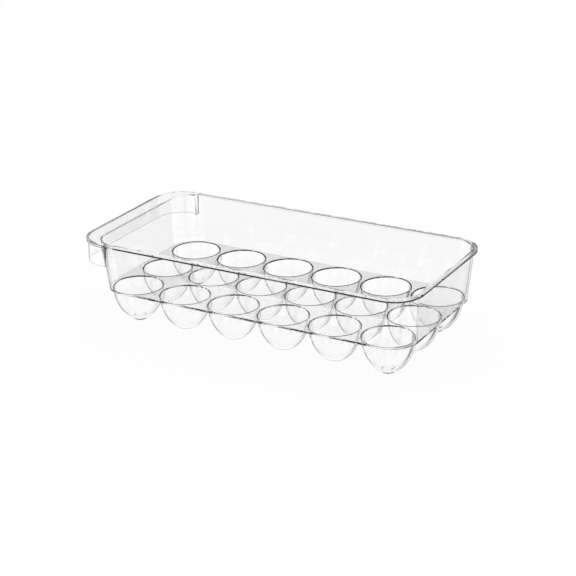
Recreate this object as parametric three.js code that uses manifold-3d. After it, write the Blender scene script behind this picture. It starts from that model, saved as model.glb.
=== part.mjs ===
// Clear egg carrier for a fridge shelf: an open tray with round egg cups under its deck,
// a drafted wall, a turned-out rim and a grip along one end. Millimetres, +Z up.
// The origin is under the middle of the carrier, on the surface that it stands on.
// The length runs along X, with the grip at the -X end.
import * as THREE from 'three';
import { mergeVertices } from 'three/addons/utils/BufferGeometryUtils.js';
import Module from 'manifold-3d';

const wasm = await Module();
wasm.setup();

// Egg cups
const cupColumns = 6;
const cupRows = 3;
const columnPitch = 50;
const rowPitch = 48.4;
const cupRadius = 23.25; // outside, at the mouth
const cupDepth = 31.4; // outside, below the deck's top face
const cupWall = 1.5;
const mouthRound = 0.5; // eased edge where the deck turns down into a cup
const footRadius = 6.5; // pad under each corner cup
const footDrop = 0.6; // how far the pads reach below the other cups

// Deck and wall
const deckThickness = 1.5;
const endMargin = 3.9; // from the last cup to the wall's outside, along the length
const sideMargin = 0.9; // the same, across the width
const wallThickness = 1.8;
const wallRise = 44.4; // from the deck's top face to the rim's underside
const wallDraft = THREE.MathUtils.degToRad(4.3);
const wallCornerFoot = 25; // outside corner radius in plan, at the deck's underside
const wallCornerTop = 23.5; // and at the rim
const deckEdgeRound = 0.8;
const innerFillet = 1.6; // between the deck and the inside of the wall

// Rim and grip
const rimThickness = 2;
const rimOverhang = 2.9; // past the outside of the wall
const rimEdgeRound = 0.3;
const gripReach = 15.5; // how far the rim runs out past the wall at the grip
const gripCorner = 28;
const skirtHeight = 18.8;
const skirtInset = 1.1; // from the rim's edge to the skirt's outside
const skirtThickness = 1.9;
const skirtThinning = 0.5; // thinner by this at the lower edge, all on its inside
const webTop = 3; // thickness of a web where it meets the rim
const webFoot = 1; // and at the skirt's lower edge
const webPlace = 7.2; // from the start of the wall's corner to the web's middle, along X
const seatGap = 0.3; // clearance between features whose meeting faces aren't level
const cutOverrun = 2;

// Fineness of the round parts
const cupSides = 20;
const cupRings = 5;
const cornerSteps = 6;
const filletSteps = 3;

// Heights above the surface
const deckTop = cupDepth + footDrop;
const deckUnderside = deckTop - deckThickness;
const rimUnderside = deckTop + wallRise;
const rimTop = rimUnderside + rimThickness;
const skirtBottom = rimUnderside - skirtHeight;

// Plan sizes, counted from the middle of the cups
const gridHalfLength = columnPitch * (cupColumns - 1) / 2;
const gridHalfWidth = rowPitch * (cupRows - 1) / 2;
const baseHalfLength = gridHalfLength + cupRadius + endMargin;
const baseHalfWidth = gridHalfWidth + cupRadius + sideMargin;
const wallTopSpread = Math.tan(wallDraft) * (rimUnderside - deckUnderside);
const wallTopHalfLength = baseHalfLength + wallTopSpread;
const gridShift = (gripReach - rimOverhang) / 2; // puts the origin under the middle

const clearPlastic = {
  color: 0xf4f8f9,
  roughness: 0.05,
  metalness: 0,
  transparent: true,
  opacity: 0.35,
};

const carrier = new THREE.Group();

function addPart(name, geometry) {
  const mesh = new THREE.Mesh(geometry, new THREE.MeshStandardMaterial(clearPlastic));
  mesh.name = name;
  carrier.add(mesh);
  return mesh;
}

// A rounded rectangle as a loop of points, anticlockwise seen from above
function roundedLoop(outline, z) {
  const { left, right, halfWidth, leftCorner, rightCorner } = outline;
  const corners = [
    [right - rightCorner, halfWidth - rightCorner, rightCorner, 0],
    [left + leftCorner, halfWidth - leftCorner, leftCorner, 1],
    [left + leftCorner, leftCorner - halfWidth, leftCorner, 2],
    [right - rightCorner, rightCorner - halfWidth, rightCorner, 3],
  ];
  const points = [];
  for (const [x, y, radius, quarter] of corners) {
    for (let step = 0; step <= cornerSteps; step += 1) {
      const angle = (quarter + step / cornerSteps) * Math.PI / 2;
      points.push([x + radius * Math.cos(angle), y + radius * Math.sin(angle), z]);
    }
  }
  return points;
}

// The outline of the wall's outside at height z, moved outwards by offset
function wallOutline(z, offset = 0) {
  const spread = Math.tan(wallDraft) * (z - deckUnderside) + offset;
  const risen = (z - deckUnderside) / (rimUnderside - deckUnderside);
  const corner = wallCornerFoot + (wallCornerTop - wallCornerFoot) * risen + offset;
  return {
    left: gridShift - baseHalfLength - spread,
    right: gridShift + baseHalfLength + spread,
    halfWidth: baseHalfWidth + spread,
    leftCorner: corner,
    rightCorner: corner,
  };
}

// The rim's outer edge, moved inwards by inset; it is widened at the grip
function rimOutline(inset = 0) {
  const outline = wallOutline(rimUnderside, rimOverhang - inset);
  outline.left = gridShift - wallTopHalfLength - gripReach + inset;
  outline.leftCorner = gripCorner - inset;
  return outline;
}

const wallLoop = (z, offset) => roundedLoop(wallOutline(z, offset), z);
const rimLoop = (z, inset) => roundedLoop(rimOutline(inset), z);

function meshFrom(points, triangles) {
  const geometry = new THREE.BufferGeometry();
  geometry.setAttribute('position', new THREE.Float32BufferAttribute(points.flat(), 3));
  geometry.setIndex(triangles.flat());
  geometry.computeVertexNormals();
  return geometry;
}

// Joins loop after loop; the faces look outwards when the loops rise anticlockwise
function stitch(loops, closed) {
  const count = loops[0].length;
  const triangles = [];
  const last = closed ? loops.length : loops.length - 1;
  for (let ring = 0; ring < last; ring += 1) {
    const low = ring * count;
    const high = ((ring + 1) % loops.length) * count;
    for (let i = 0; i < count; i += 1) {
      const next = (i + 1) % count;
      triangles.push([low + i, low + next, high + next], [low + i, high + next, high + i]);
    }
  }
  return triangles;
}

// A ring round an opening: loops go up the outside and down the inside
function ringGeometry(loops) {
  return meshFrom(loops.flat(), stitch(loops, true));
}

// A solid slab between its lowest and highest loop
function slabGeometry(loops) {
  const count = loops[0].length;
  const triangles = stitch(loops, false);
  const top = (loops.length - 1) * count;
  for (let i = 1; i < count - 1; i += 1) {
    triangles.push([0, i + 1, i], [top, top + i, top + i + 1]);
  }
  return meshFrom(loops.flat(), triangles);
}

function toManifold(geometry) {
  const bare = geometry.clone();
  bare.deleteAttribute('normal');
  bare.deleteAttribute('uv');
  const merged = mergeVertices(bare);
  return new wasm.Manifold(new wasm.Mesh({
    numProp: 3,
    vertProperties: new Float32Array(merged.attributes.position.array),
    triVerts: new Uint32Array(merged.index.array),
  }));
}

function fromManifold(solid) {
  const mesh = solid.getMesh();
  const geometry = new THREE.BufferGeometry();
  geometry.setAttribute('position', new THREE.BufferAttribute(new Float32Array(mesh.vertProperties), 3));
  geometry.setIndex(new THREE.BufferAttribute(new Uint32Array(mesh.triVerts), 1));
  geometry.computeVertexNormals();
  return geometry;
}

// Turns a profile of [radius, height] pairs about Z
function turned(profile) {
  const points = profile.map(([radius, height]) => new THREE.Vector2(radius, height));
  const lathe = new THREE.LatheGeometry(points, cupSides);
  lathe.rotateX(Math.PI / 2);
  return lathe;
}

// Places of the cups, row by row, starting at the grip and the front
function cupPlaces() {
  const places = [];
  for (let row = 0; row < cupRows; row += 1) {
    for (let column = 0; column < cupColumns; column += 1) {
      const atEnd = column === 0 || column === cupColumns - 1;
      const atSide = row === 0 || row === cupRows - 1;
      places.push({
        row,
        column,
        x: gridShift - gridHalfLength + column * columnPitch,
        y: row * rowPitch - gridHalfWidth,
        footed: atEnd && atSide,
      });
    }
  }
  return places;
}

// Half an ellipse below the deck, from the deck's top face to the cup's lowest point
function cupCurve(radius, depth) {
  const points = [];
  for (let ring = 0; ring < cupRings; ring += 1) {
    const angle = ring / cupRings * Math.PI / 2;
    points.push([radius * Math.cos(angle), deckTop - depth * Math.sin(angle)]);
  }
  points.push([0, deckTop - depth]);
  return points;
}

const innerRadius = cupRadius - cupWall;
const innerDepth = cupDepth - cupWall;

// A cup's outside, closed at the deck; a corner cup ends in a flat round pad
function cupSolid(footed) {
  const bowl = cupCurve(cupRadius, cupDepth);
  const shoulder = [0, deckTop - mouthRound];
  bowl[0][1] = deckTop - mouthRound;
  bowl.unshift(shoulder);
  if (!footed) {
    return turned(bowl.reverse());
  }
  const padTop = deckTop - cupDepth * Math.sqrt(1 - (footRadius / cupRadius) ** 2);
  const above = bowl.filter(([radius, height]) => radius > footRadius || height > padTop);
  return turned([[0, 0], [footRadius, 0], [footRadius, padTop], ...above.reverse()]);
}

// The room for the egg, with the eased edge at its mouth, as deep as the cup
function eggRoom() {
  const easing = mouthRound * (1 - Math.SQRT1_2);
  const bowl = cupCurve(innerRadius, innerDepth);
  bowl[0][1] = deckTop - mouthRound;
  return turned([
    ...bowl.reverse(),
    [innerRadius + easing, deckTop - easing],
    [innerRadius + mouthRound, deckTop],
    [innerRadius + mouthRound, deckTop + cutOverrun],
    [0, deckTop + cutOverrun],
  ]);
}

// The whole deck as one plate with a rounded lower edge, before it is shared out
function deckPlate() {
  const loops = [];
  for (let step = 0; step <= filletSteps; step += 1) {
    const angle = step / filletSteps * Math.PI / 2;
    const rise = deckEdgeRound * (1 - Math.cos(angle));
    const inset = deckEdgeRound * (1 - Math.sin(angle));
    loops.push(wallLoop(deckUnderside + rise, -inset));
  }
  loops.push(wallLoop(deckTop));
  return toManifold(slabGeometry(loops));
}

// From one edge of a cell to the other; the outer cells reach past the plate's edge
function cellSpan(index, count, pitch, margin) {
  const low = index === 0 ? -pitch / 2 - margin : -pitch / 2;
  const high = index === count - 1 ? pitch / 2 + margin : pitch / 2;
  return [low, high];
}

// An egg cup with its own share of the deck, drawn round the cup's axis
function cupCell(plate, place) {
  const past = cupRadius + endMargin + sideMargin;
  const [left, right] = cellSpan(place.column, cupColumns, columnPitch, past);
  const [front, back] = cellSpan(place.row, cupRows, rowPitch, past);
  const share = new THREE.BoxGeometry(right - left, back - front, deckThickness + 2 * cutOverrun);
  share.translate((left + right) / 2, (front + back) / 2, deckTop - deckThickness / 2);
  return fromManifold(
    plate.translate([-place.x, -place.y, 0])
      .intersect(toManifold(share))
      .add(toManifold(cupSolid(place.footed)))
      .subtract(toManifold(eggRoom())),
  );
}

// The wall stands on the deck's edge, with a fillet inside along its foot
function trayWall() {
  const loops = [wallLoop(deckTop), wallLoop(rimUnderside), wallLoop(rimUnderside, -wallThickness)];
  for (let step = 0; step <= filletSteps; step += 1) {
    const angle = step / filletSteps * Math.PI / 2;
    const rise = innerFillet * (1 - Math.sin(angle));
    const reach = innerFillet * (1 - Math.cos(angle));
    loops.push(wallLoop(deckTop + rise, -wallThickness - reach));
  }
  return ringGeometry(loops);
}

// The rim lies on top of the wall, flush with it inside and turned out past it all round
function rim() {
  const inside = wallOutline(rimUnderside, -wallThickness);
  const easedInside = wallOutline(rimUnderside, rimEdgeRound - wallThickness);
  return ringGeometry([
    rimLoop(rimUnderside, rimEdgeRound),
    rimLoop(rimUnderside + rimEdgeRound, 0),
    rimLoop(rimTop - rimEdgeRound, 0),
    rimLoop(rimTop, rimEdgeRound),
    roundedLoop(easedInside, rimTop),
    roundedLoop(inside, rimTop - rimEdgeRound),
    roundedLoop(inside, rimUnderside),
  ]);
}

// A rectangle as a loop of points, anticlockwise seen from above, with x as its middle
function rectangleLoop(x, thickness, halfWidth, z) {
  const half = thickness / 2;
  return [
    [x + half, halfWidth, z],
    [x - half, halfWidth, z],
    [x - half, -halfWidth, z],
    [x + half, -halfWidth, z],
  ];
}

// A skirt hangs from the rim's edge round the grip, and a tapered web joins each of its ends to the wall
function gripSkirt() {
  const inner = skirtInset + skirtThickness;
  const band = toManifold(ringGeometry([
    rimLoop(skirtBottom, skirtInset),
    rimLoop(rimUnderside, skirtInset),
    rimLoop(rimUnderside, inner),
    rimLoop(skirtBottom, inner - skirtThinning),
  ]));
  const webMiddle = gridShift - wallTopHalfLength + wallCornerTop - webPlace;
  const outer = rimOutline(0);
  const kept = new THREE.BoxGeometry(
    webMiddle + webFoot / 2 - outer.left + cutOverrun,
    2 * (outer.halfWidth + cutOverrun),
    2 * (skirtHeight + cutOverrun),
  );
  kept.translate(
    (webMiddle + webFoot / 2 + outer.left - cutOverrun) / 2,
    0,
    rimUnderside,
  );
  const webReach = outer.halfWidth - skirtInset - skirtThickness / 2;
  const webs = slabGeometry([
    rectangleLoop(webMiddle, webFoot, webReach, skirtBottom),
    rectangleLoop(webMiddle, webTop, webReach, rimUnderside),
  ]);
  const wallRoom = toManifold(slabGeometry([
    wallLoop(skirtBottom - cutOverrun, seatGap),
    wallLoop(rimUnderside + cutOverrun, seatGap),
  ]));
  const skirt = toManifold(kept).intersect(band).add(toManifold(webs)).subtract(wallRoom);
  return fromManifold(skirt);
}

addPart('tray_wall', trayWall());
addPart('rim', rim());
addPart('grip_skirt', gripSkirt());

const plate = deckPlate();
for (const place of cupPlaces()) {
  const cup = addPart(`egg_cup_r${place.row + 1}c${place.column + 1}`, cupCell(plate, place));
  cup.position.set(place.x, place.y, 0);
}

export default carrier;
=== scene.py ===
import math

import bmesh
import bpy
from mathutils import Matrix, Vector


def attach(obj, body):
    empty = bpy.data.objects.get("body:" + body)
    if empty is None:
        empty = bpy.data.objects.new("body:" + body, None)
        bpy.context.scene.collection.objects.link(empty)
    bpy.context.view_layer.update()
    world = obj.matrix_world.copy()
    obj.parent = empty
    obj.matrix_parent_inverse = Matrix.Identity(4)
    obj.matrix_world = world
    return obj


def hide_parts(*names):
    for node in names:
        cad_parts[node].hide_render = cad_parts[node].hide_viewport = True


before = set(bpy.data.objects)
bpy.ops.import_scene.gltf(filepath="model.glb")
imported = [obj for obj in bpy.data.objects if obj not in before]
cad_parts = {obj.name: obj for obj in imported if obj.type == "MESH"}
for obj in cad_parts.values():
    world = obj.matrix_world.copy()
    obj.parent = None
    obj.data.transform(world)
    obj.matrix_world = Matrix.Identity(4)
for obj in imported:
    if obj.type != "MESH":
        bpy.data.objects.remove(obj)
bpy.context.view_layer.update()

# Lengths in the dictionaries are in millimetres and angles in degrees. The scene itself is in metres.
millimetre = 0.001
onAxis = 0.001      # a point of a turned profile that is nearer to the axis than this lies on it


# What the shapes below share

def addPoint(mesh, x, y, z):
    return mesh.verts.new((x * millimetre, y * millimetre, z * millimetre))


def newObject(name, mesh):
    mesh.normal_update()
    data = bpy.data.meshes.new(name)
    mesh.to_mesh(data)
    mesh.free()
    made = bpy.data.objects.new(name, data)
    bpy.context.scene.collection.objects.link(made)
    return made


def roundedOutline(left, right, half, leftRadius, rightRadius, steps):
    corners = (
        (right - rightRadius, half - rightRadius, rightRadius),
        (left + leftRadius, half - leftRadius, leftRadius),
        (left + leftRadius, leftRadius - half, leftRadius),
        (right - rightRadius, rightRadius - half, rightRadius),
    )
    points = []
    for turn, (x, y, radius) in enumerate(corners):
        for step in range(steps + 1):
            angle = (turn + step / steps) * math.pi / 2
            points.append((x + radius * math.cos(angle), y + radius * math.sin(angle)))
    return points


def loft(name, levels):
    # a closed solid through (height, outline) levels, from the lowest to the highest
    mesh = bmesh.new()
    loops = [[addPoint(mesh, x, y, height) for x, y in outline] for height, outline in levels]
    for lower, upper in zip(loops, loops[1:]):
        for here in range(len(lower)):
            after = (here + 1) % len(lower)
            mesh.faces.new((lower[here], lower[after], upper[after], upper[here]))
    mesh.faces.new(list(reversed(loops[0])))
    mesh.faces.new(loops[-1])
    return newObject(name, mesh)


def turn(mesh, profile, centreX, centreY, sides):
    # a solid of revolution whose profile runs from the lowest point on the axis to the highest
    loops = []
    for radius, height in profile:
        if radius < onAxis:
            loops.append([addPoint(mesh, centreX, centreY, height)])
            continue
        loop = []
        for side in range(sides):
            angle = 2 * math.pi * side / sides
            loop.append(addPoint(mesh, centreX + radius * math.cos(angle),
                                 centreY + radius * math.sin(angle), height))
        loops.append(loop)
    for lower, upper in zip(loops, loops[1:]):
        for here in range(sides):
            after = (here + 1) % sides
            if len(lower) == 1:
                mesh.faces.new((lower[0], upper[after], upper[here]))
            elif len(upper) == 1:
                mesh.faces.new((lower[here], lower[after], upper[0]))
            else:
                mesh.faces.new((lower[here], lower[after], upper[after], upper[here]))


def combine(body, other, how):
    # joins, cuts or trims body with other, which is used up
    cut = body.modifiers.new("combine", "BOOLEAN")
    cut.object = other
    cut.operation = how
    cut.solver = "MANIFOLD"
    evaluated = body.evaluated_get(bpy.context.evaluated_depsgraph_get())
    result = bpy.data.meshes.new_from_object(evaluated)
    body.modifiers.clear()
    used = (body.data, other.data)
    body.data = result
    bpy.data.objects.remove(other)
    for data in used:
        bpy.data.meshes.remove(data)


def easing(steps):
    # (sine, cosine) pairs of a quarter turn, for rounded edges
    angles = [math.pi / 2 * step / steps for step in range(steps + 1)]
    return [(math.sin(angle), math.cos(angle)) for angle in angles]


# The tray: its wall, deck and rim, one closed skin. Its outline is the CAD's. The deck's height and
# the small roundings are set to the photo, so that the clear plastic draws the same lines.

tray = {
    "gridCentre": 6.3,        # the cups' centre along the length, from the carrier's own middle
    "wallFoot": 30.5,         # where the wall's outline is measured
    "deckUnderside": 31.3,
    "deckTop": 32.8,
    "baseHalfLength": 152.15,
    "baseHalfWidth": 72.55,
    "footCorner": 25.0,       # the corners' radius, outside, at the deck
    "topCorner": 23.5,        # and at the rim
    "deckEdgeRound": 0.2,
    "wallThickness": 1.8,
    "wallDraft": 4.3,
    "footFillet": 0.3,        # inside, where the wall meets the deck
    "rimUnderside": 76.4,
    "rimTop": 78.4,
    "rimOverhang": 2.9,
    "underRimFillet": 0.15,
    "lowerEdgeRound": 0.12,
    "rimRise": 0.3,           # the rim's underside is higher at the wall
    "rimLip": 0.56,           # and lower at its outer edge
    "lipReach": 2.7,          # over that width
    "upperEdgeRound": 0.3,
    "innerEdgeRound": 0.8,
    "gripReach": 15.5,        # how far the rim stands out at the grip end
    "gripCorner": 28.0,
    "cornerSteps": 20,
    "edgeSteps": 6,
    "sharpAngle": 40.0,       # edges that turn by more stay sharp in the shading
    "largeFaceWeight": 100,   # and large faces keep their own normals
}


def wallSpread(height):
    return math.tan(math.radians(tray["wallDraft"])) * (height - tray["wallFoot"])


def wallOutline(height, offset=0.0):
    spread = wallSpread(height) + offset
    risen = (height - tray["wallFoot"]) / (tray["rimUnderside"] - tray["wallFoot"])
    radius = tray["footCorner"] + (tray["topCorner"] - tray["footCorner"]) * risen + offset
    return roundedOutline(tray["gridCentre"] - tray["baseHalfLength"] - spread,
                          tray["gridCentre"] + tray["baseHalfLength"] + spread,
                          tray["baseHalfWidth"] + spread, radius, radius, tray["cornerSteps"])


def rimOutline(inset=0.0):
    top = wallSpread(tray["rimUnderside"])
    reach = top + tray["rimOverhang"] - inset
    return roundedOutline(tray["gridCentre"] - tray["baseHalfLength"] - top - tray["gripReach"] + inset,
                          tray["gridCentre"] + tray["baseHalfLength"] + reach,
                          tray["baseHalfWidth"] + reach,
                          tray["gripCorner"] - inset, tray["topCorner"] + tray["rimOverhang"] - inset,
                          tray["cornerSteps"])


def traySolid():
    levels = []
    turns = easing(tray["edgeSteps"])
    underside = tray["rimUnderside"] + tray["rimRise"]
    for sine, cosine in turns:      # the rounded edge under the deck
        size = tray["deckEdgeRound"]
        height = tray["deckUnderside"] + size * (1 - cosine)
        levels.append((height, wallOutline(height, -size * (1 - sine))))
    for sine, cosine in turns:      # the fillet between the wall and the rim
        size = tray["underRimFillet"]
        height = underside - size * (1 - sine)
        levels.append((height, wallOutline(height, size * (1 - cosine))))
    levels.append((underside, rimOutline(tray["lipReach"])))
    lip = tray["rimUnderside"] - tray["rimLip"]
    for sine, cosine in turns:      # the rim's lower outer edge
        size = tray["lowerEdgeRound"]
        levels.append((lip + size * (1 - cosine), rimOutline(size * (1 - sine))))
    for sine, cosine in turns:      # and the upper one
        size = tray["upperEdgeRound"]
        levels.append((tray["rimTop"] - size * (1 - sine), rimOutline(size * (1 - cosine))))
    return loft("egg_carrier", levels)


def trayRoom():
    # the space inside the wall, open through the rim
    levels = []
    wall = -tray["wallThickness"]
    for sine, cosine in easing(tray["edgeSteps"]):
        size = tray["footFillet"]
        height = tray["deckTop"] + size * (1 - cosine)
        levels.append((height, wallOutline(height, wall - size * (1 - sine))))
    for sine, cosine in easing(tray["edgeSteps"]):
        size = tray["innerEdgeRound"]
        height = tray["rimTop"] - size * (1 - sine)
        levels.append((height, wallOutline(height, wall + size * (1 - cosine))))
    above = tray["rimTop"] + tray["wallThickness"]
    levels.append((above, wallOutline(tray["rimTop"], wall + tray["innerEdgeRound"])))
    return loft("tray_room", levels)


# The egg cups

cups = {
    "columns": 6,
    "rows": 3,
    "columnPitch": 50.0,
    "rowPitch": 48.4,
    "radius": 23.25,
    "bowlTop": 32.0,          # where the bowl is widest
    "depth": 31.4,
    "wall": 1.5,
    "mouthRound": 1.3,
    "footRadius": 6.5,        # the corner cups stand on flat pads
    "footRound": 1.8,
    "footSteps": 4,
    "sides": 96,
    "rings": 28,
}


def cupPlaces():
    for row in range(cups["rows"]):
        for column in range(cups["columns"]):
            x = tray["gridCentre"] + (column - (cups["columns"] - 1) / 2) * cups["columnPitch"]
            y = (row - (cups["rows"] - 1) / 2) * cups["rowPitch"]
            corner = row in (0, cups["rows"] - 1) and column in (0, cups["columns"] - 1)
            yield x, y, corner


def bowlCurve(radius, depth, top):
    # from the bowl's lowest point up to its mouth
    curve = []
    for ring in range(cups["rings"], -1, -1):
        angle = math.pi / 2 * ring / cups["rings"]
        across = 0.0 if ring == cups["rings"] else radius * math.cos(angle)
        curve.append((across, top - depth * math.sin(angle)))
    return curve


def cupProfile(onPad):
    top = cups["bowlTop"]
    curve = bowlCurve(cups["radius"], cups["depth"], top)
    if onPad:
        pad = cups["footRadius"]
        edge = cups["footRound"]
        meets = top - cups["depth"] * math.sqrt(1 - (pad / cups["radius"]) ** 2)
        foot = [(0.0, 0.0)]
        for sine, cosine in easing(cups["footSteps"]):
            foot.append((pad - edge * (1 - sine), edge * (1 - cosine)))
        foot.append((pad, meets))
        curve = foot + [point for point in curve if point[0] > pad]
    neck = tray["deckTop"] - cups["mouthRound"]
    return curve[:-1] + [(cups["radius"], neck), (0.0, neck)]


def roomProfile():
    # the bowl's inside, with its eased mouth
    ease = cups["mouthRound"]
    neck = tray["deckTop"] - ease
    inside = cups["radius"] - cups["wall"]
    floor = cups["bowlTop"] - cups["depth"] + cups["wall"]
    curve = bowlCurve(inside, neck - floor, neck)
    for sine, cosine in easing(tray["edgeSteps"])[1:]:
        curve.append((inside + ease * (1 - cosine), neck + ease * sine))
    above = tray["deckTop"] + cups["wall"]
    return curve + [(inside + ease, above), (0.0, above)]


def cupSolids(name, profileOf):
    mesh = bmesh.new()
    for x, y, corner in cupPlaces():
        turn(mesh, profileOf(corner), x, y, cups["sides"])
    return newObject(name, mesh)


# The grip: a skirt that hangs from the rim's wide end, with a tapered web at each of its ends

grip = {
    "skirtHeight": 18.8,
    "skirtInset": 1.1,
    "skirtThickness": 1.9,
    "skirtThinning": 0.9,     # the skirt's foot is that much thinner
    "skirtRound": 0.05,
    "webPlace": 7.2,          # from the wall's corner centre towards the grip
    "webTop": 3.4,
    "webFoot": 0.6,
    "seat": 0.3,              # how far both reach into the rim
}


def prism(name, corners, half):
    # corners are (x, z) points, seen from the front; the prism runs from -half to half across
    mesh = bmesh.new()
    front = [addPoint(mesh, x, -half, z) for x, z in corners]
    back = [addPoint(mesh, x, half, z) for x, z in corners]
    mesh.faces.new(front)
    mesh.faces.new(list(reversed(back)))
    for here in range(len(corners)):
        after = (here + 1) % len(corners)
        mesh.faces.new((front[after], front[here], back[here], back[after]))
    return newObject(name, mesh)


def rectangle(left, right, low, high):
    return [(left, low), (right, low), (right, high), (left, high)]


def gripSolid():
    high = tray["rimUnderside"] + grip["seat"]
    low = tray["rimUnderside"] - grip["skirtHeight"]
    past = grip["skirtThickness"]      # how far the cutting pieces run past what they cut
    ease = grip["skirtRound"]
    skirt = loft("grip_skirt", [
        (low, rimOutline(grip["skirtInset"] + ease)),
        (low + ease, rimOutline(grip["skirtInset"])),
        (high, rimOutline(grip["skirtInset"])),
    ])
    inner = grip["skirtInset"] + grip["skirtThickness"]
    combine(skirt, loft("skirt_room", [
        (low - past, rimOutline(inner - grip["skirtThinning"])),
        (high + past, rimOutline(inner)),
    ]), "DIFFERENCE")
    wallEnd = tray["gridCentre"] - tray["baseHalfLength"] - wallSpread(tray["rimUnderside"])
    centre = wallEnd + tray["topCorner"] - grip["webPlace"]
    edge = centre + grip["webFoot"] / 2
    half = tray["baseHalfWidth"] + wallSpread(tray["rimUnderside"]) + tray["rimOverhang"]
    reach = tray["gripReach"] + tray["baseHalfLength"] + past
    kept = rectangle(-reach - half, edge, low - past, high + past)
    combine(skirt, prism("keep", kept, half + past), "INTERSECT")
    webHalf = half - grip["skirtInset"] - grip["skirtThickness"] / 2
    webs = prism("webs", [
        (centre - grip["webFoot"] / 2, low),
        (centre + grip["webFoot"] / 2, low),
        (centre + grip["webTop"] / 2, high),
        (centre - grip["webTop"] / 2, high),
    ], webHalf)
    middle = tray["baseHalfWidth"] - tray["wallThickness"] / 2
    opened = rectangle(centre - past * 2, centre + past * 2, low - past, high + past)
    combine(webs, prism("between", opened, middle), "DIFFERENCE")
    combine(skirt, webs, "UNION")
    return skirt


def buildCarrier():
    # joined first and cut last, so that every wall is open to the room it encloses
    carrier = traySolid()
    combine(carrier, cupSolids("cups", cupProfile), "UNION")
    combine(carrier, gripSolid(), "UNION")
    combine(carrier, trayRoom(), "DIFFERENCE")
    combine(carrier, cupSolids("cup_rooms", lambda corner: roomProfile()), "DIFFERENCE")
    for face in carrier.data.polygons:
        face.use_smooth = True
    carrier.data.set_sharp_from_angle(angle=math.radians(tray["sharpAngle"]))
    # with their own normals the flat faces don't bend what is seen through them
    weighted = carrier.modifiers.new("flat_faces", "WEIGHTED_NORMAL")
    weighted.mode = "FACE_AREA"
    weighted.weight = tray["largeFaceWeight"]
    weighted.keep_sharp = True
    return carrier


# The clear plastic

plastic = {
    "tint": (1.0, 1.0, 1.0),
    "refraction": 1.5,
    "roughness": (0.0, 0.03),     # from the polished faces to the faint flow marks
    "markSize": 26.0,             # flow marks, across
    "markDetail": 3.0,
    "markDepth": 0.004,
    "hazeRange": (0.5, 0.8),      # the part of the noise that turns hazy
}


def clearPlastic():
    material = bpy.data.materials.new("clear_plastic")
    material.use_nodes = True
    nodes = material.node_tree.nodes
    links = material.node_tree.links
    shader = nodes["Principled BSDF"]
    shader.inputs["Base Color"].default_value = (*plastic["tint"], 1.0)
    shader.inputs["Transmission Weight"].default_value = 1.0
    shader.inputs["IOR"].default_value = plastic["refraction"]

    place = nodes.new("ShaderNodeTexCoord")
    marks = nodes.new("ShaderNodeTexNoise")
    marks.inputs["Scale"].default_value = 1 / (plastic["markSize"] * millimetre)
    marks.inputs["Detail"].default_value = plastic["markDetail"]
    links.new(place.outputs["Object"], marks.inputs["Vector"])

    haze = nodes.new("ShaderNodeMapRange")
    haze.inputs["From Min"].default_value = plastic["hazeRange"][0]
    haze.inputs["From Max"].default_value = plastic["hazeRange"][1]
    haze.inputs["To Min"].default_value = plastic["roughness"][0]
    haze.inputs["To Max"].default_value = plastic["roughness"][1]
    links.new(marks.outputs["Fac"], haze.inputs["Value"])
    links.new(haze.outputs["Result"], shader.inputs["Roughness"])

    ripple = nodes.new("ShaderNodeBump")
    ripple.inputs["Distance"].default_value = plastic["markDepth"] * millimetre
    ripple.inputs["Strength"].default_value = 1.0
    links.new(marks.outputs["Fac"], ripple.inputs["Height"])
    links.new(ripple.outputs["Normal"], shader.inputs["Normal"])
    return material


carrier = buildCarrier()
carrier.data.materials.clear()
carrier.data.materials.append(clearPlastic())
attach(carrier, "root")
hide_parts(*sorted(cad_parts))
print("carrier:", len(carrier.data.polygons), "faces")


# The studio: a pale floor and a white surround. The camera sees it plain; only rays through the
# plastic or mirrored in it meet its dark levels and flags, which draw the plastic's edges.

studio = {
    "floorSize": 9000.0,
    "floorPanels": 4,           # along each side
    "floorDrop": 0.2,
    "floorColour": 0.92,
    "floorWhite": 0.96,         # how much of the floor is plain white; the rest takes the shadow
    # heights in the surround, from -1 straight down to 1 straight up, and the brightness there
    "throughLevels": ((0.0, 1.0), (0.12, 0.03), (0.42, 0.03), (0.48, 0.6), (0.6, 0.6), (0.75, 0.3)),
    "mirroredLevels": ((0.15, 1.0), (0.32, 1.3), (0.55, 1.3), (0.8, 0.7)),
    # upright dark flags: azimuth, half width, softness and brightness
    "throughFlags": ((99, 3, 8, 0.1), (150, 3, 9, 0.1), (60, 6, 6, 0.15), (240, 6, 6, 0.15),
                     (279, 4, 6, 0.05), (330, 5, 6, 0.05)),
    "mirroredFlags": ((60, 10, 10, 0.5),),
    "flagFoot": (-0.85, -0.65),    # heights between which they fade out, towards straight down
}


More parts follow.
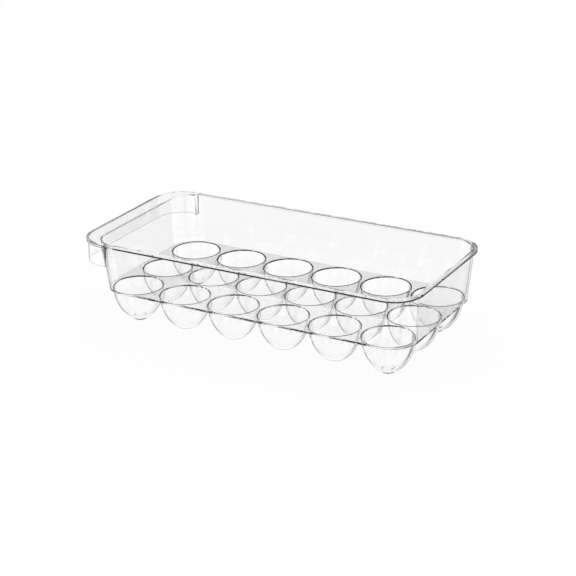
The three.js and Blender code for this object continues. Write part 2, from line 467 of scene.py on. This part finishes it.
def buildFloor():
    mesh = bmesh.new()
    panels = studio["floorPanels"]
    places = [studio["floorSize"] * (step / panels - 0.5) for step in range(panels + 1)]
    rows = [[addPoint(mesh, x, y, -studio["floorDrop"]) for x in places] for y in places]
    for lower, upper in zip(rows, rows[1:]):
        for here in range(panels):
            mesh.faces.new((lower[here], lower[here + 1], upper[here + 1], upper[here]))
    floor = newObject("floor", mesh)

    material = bpy.data.materials.new("pale_floor")
    material.use_nodes = True
    nodes = material.node_tree.nodes
    links = material.node_tree.links
    nodes.clear()
    out = nodes.new("ShaderNodeOutputMaterial")
    matt = nodes.new("ShaderNodeBsdfDiffuse")
    matt.inputs["Color"].default_value = (*[studio["floorColour"]] * 3, 1.0)
    white = nodes.new("ShaderNodeEmission")
    pale = nodes.new("ShaderNodeMixShader")
    pale.inputs["Fac"].default_value = studio["floorWhite"]
    links.new(matt.outputs["BSDF"], pale.inputs[1])
    links.new(white.outputs["Emission"], pale.inputs[2])
    # seen through the plastic or mirrored in it, the floor is part of the surround
    ray = nodes.new("ShaderNodeLightPath")
    through = nodes.new("ShaderNodeMath")
    through.operation = "MAXIMUM"
    links.new(ray.outputs["Is Transmission Ray"], through.inputs[0])
    links.new(ray.outputs["Is Glossy Ray"], through.inputs[1])
    surround = nodes.new("ShaderNodeBsdfTransparent")
    seen = nodes.new("ShaderNodeMixShader")
    links.new(through.outputs["Value"], seen.inputs["Fac"])
    links.new(pale.outputs["Shader"], seen.inputs[1])
    links.new(surround.outputs["BSDF"], seen.inputs[2])
    links.new(seen.outputs["Shader"], out.inputs["Surface"])
    floor.data.materials.append(material)
    return floor


def buildSurround():
    world = bpy.data.worlds.new("surround")
    bpy.context.scene.world = world
    world.use_nodes = True
    nodes = world.node_tree.nodes
    links = world.node_tree.links
    nodes.clear()
    direction = nodes.new("ShaderNodeTexCoord").outputs["Generated"]

    def fade(value, start, end, fromValue, toValue):
        ramp = nodes.new("ShaderNodeMapRange")
        ramp.interpolation_type = "SMOOTHSTEP"
        ramp.inputs["From Min"].default_value = start
        ramp.inputs["From Max"].default_value = end
        ramp.inputs["To Min"].default_value = fromValue
        ramp.inputs["To Max"].default_value = toValue
        links.new(value, ramp.inputs["Value"])
        return ramp.outputs["Result"]

    def joined(how, first, second):
        both = nodes.new("ShaderNodeMath")
        both.operation = how
        links.new(first, both.inputs[0])
        links.new(second, both.inputs[1])
        return both.outputs["Value"]

    height = nodes.new("ShaderNodeSeparateXYZ")
    links.new(direction, height.inputs["Vector"])

    def brightness(levels):
        # each step of brightness is added to the one below it
        level = None
        for (low, before), (high, after) in zip(levels, levels[1:]):
            if level is None:
                level = fade(height.outputs["Z"], low, high, before, after)
            else:
                level = joined("ADD", level, fade(height.outputs["Z"], low, high, 0.0, after - before))
        return level

    flat = nodes.new("ShaderNodeVectorMath")
    flat.operation = "MULTIPLY"
    flat.inputs[1].default_value = (1.0, 1.0, 0.0)
    links.new(direction, flat.inputs[0])
    heading = nodes.new("ShaderNodeVectorMath")
    heading.operation = "NORMALIZE"
    links.new(flat.outputs["Vector"], heading.inputs[0])

    def flagged(level, flags):
        foot, body = studio["flagFoot"]
        for azimuth, half, soft, bright in flags:
            angle = math.radians(azimuth)
            toFlag = nodes.new("ShaderNodeVectorMath")
            toFlag.operation = "DOT_PRODUCT"
            toFlag.inputs[1].default_value = (math.cos(angle), math.sin(angle), 0.0)
            links.new(heading.outputs["Vector"], toFlag.inputs[0])
            outer = math.cos(math.radians(half + soft))
            inner = math.cos(math.radians(half))
            shade = fade(toFlag.outputs["Value"], outer, inner, 1.0, bright)
            # the flag's own brightness rises to white towards its foot
            links.new(fade(height.outputs["Z"], foot, body, 1.0, bright), shade.node.inputs["To Max"])
            level = joined("MULTIPLY", level, shade)
        return level

    def backdrop(strength=None):
        shade = nodes.new("ShaderNodeBackground")
        shade.inputs["Color"].default_value = (1.0, 1.0, 1.0, 1.0)
        if strength is not None:
            links.new(strength, shade.inputs["Strength"])
        return shade.outputs["Background"]

    def choose(share, first, second):
        choice = nodes.new("ShaderNodeMixShader")
        links.new(share, choice.inputs["Fac"])
        links.new(first, choice.inputs[1])
        links.new(second, choice.inputs[2])
        return choice.outputs["Shader"]

    ray = nodes.new("ShaderNodeLightPath")
    mirrored = flagged(brightness(studio["mirroredLevels"]), studio["mirroredFlags"])
    through = flagged(brightness(studio["throughLevels"]), studio["throughFlags"])
    seen = choose(ray.outputs["Is Glossy Ray"], backdrop(), backdrop(mirrored))
    seen = choose(ray.outputs["Is Transmission Ray"], seen, backdrop(through))
    out = nodes.new("ShaderNodeOutputWorld")
    links.new(seen, out.inputs["Surface"])


buildFloor()
buildSurround()
print("studio ready")


# The camera, solved from the rim, the deck and the cups in the picture

view = {
    "place": (687.31, -1183.91, 596.59),
    "yaw": 29.817,
    "pitch": 22.383,
    "roll": -1.181,
    "lens": 103.897,
    "sensor": 36.0,
    "shift": (-0.5 / 576, 0.5 / 576),    # half a pixel of the photo
    "farthest": 100.0,                   # metres
    "bounces": 32,                       # enough for the plastic's many faces behind each other
    "mirrorBounces": 16,
}


def buildCamera():
    yaw, pitch, roll = (math.radians(view[name]) for name in ("yaw", "pitch", "roll"))
    back = Vector((math.sin(yaw) * math.cos(pitch), -math.cos(yaw) * math.cos(pitch), math.sin(pitch)))
    level = Vector((math.cos(yaw), math.sin(yaw), 0.0))
    upright = back.cross(level)
    right = level * math.cos(roll) + upright * math.sin(roll)
    up = upright * math.cos(roll) - level * math.sin(roll)
    camera = bpy.data.objects.new("camera", bpy.data.cameras.new("camera"))
    bpy.context.scene.collection.objects.link(camera)
    camera.matrix_world = Matrix.Translation(Vector(view["place"]) * millimetre) @ Matrix(
        ((right.x, up.x, back.x), (right.y, up.y, back.y), (right.z, up.z, back.z))).to_4x4()
    camera.data.lens = view["lens"]
    camera.data.sensor_width = view["sensor"]
    camera.data.shift_x, camera.data.shift_y = view["shift"]
    camera.data.clip_end = view["farthest"]
    bpy.context.scene.camera = camera


buildCamera()

scene = bpy.context.scene
scene.view_settings.view_transform = "Standard"
scene.cycles.max_bounces = view["bounces"]
scene.cycles.transmission_bounces = view["bounces"]
scene.cycles.glossy_bounces = view["mirrorBounces"]
scene.cycles.transparent_max_bounces = view["bounces"]
print("camera ready")
